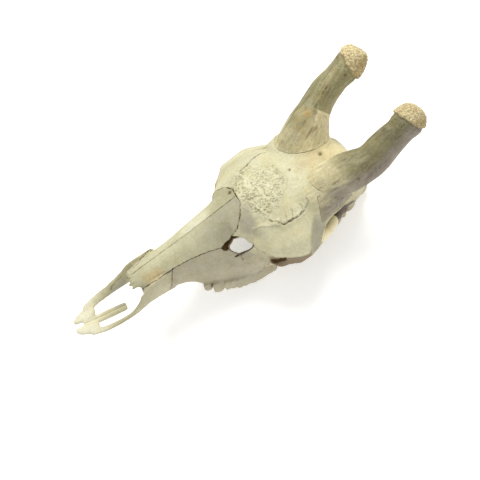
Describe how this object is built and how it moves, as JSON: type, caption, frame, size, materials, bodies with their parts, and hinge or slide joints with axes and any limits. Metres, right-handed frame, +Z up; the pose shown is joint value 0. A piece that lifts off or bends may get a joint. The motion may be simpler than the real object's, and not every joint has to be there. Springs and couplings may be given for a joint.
{
  "type": "giraffe skull",
  "caption": "Life-size giraffe cranium without its lower jaw, with two knobbed ossicones, cheek teeth and free premaxillae, lying on its molars and skull base.",
  "frame": {"origin": "below the middle of the skull's bounding box, on the floor that it lies on", "axes": "+X the animal's left, +Y towards the back of the head, +Z up"},
  "size_m": [0.2936, 0.7438, 0.229],
  "materials": {
    "cranium_bone": "dry cream bone",
    "nasal_bone": "dry cream bone",
    "maxilla_bone": "dry cream bone with worn enamel",
    "premaxilla_bone": "dry pale bone",
    "zygomatic_bone": "dry beige bone",
    "ossicone_bone": "dry stained bone"
  },
  "bodies": {
    "root": {"cranium": "cranium_bone", "nasal_left": "nasal_bone", "nasal_right": "nasal_bone", "maxilla_left": "maxilla_bone", "maxilla_right": "maxilla_bone", "premaxilla_left": "premaxilla_bone", "premaxilla_right": "premaxilla_bone", "zygomatic_left": "zygomatic_bone", "zygomatic_right": "zygomatic_bone", "ossicone_left": "ossicone_bone", "ossicone_right": "ossicone_bone"}
  },
  "joints": []
}
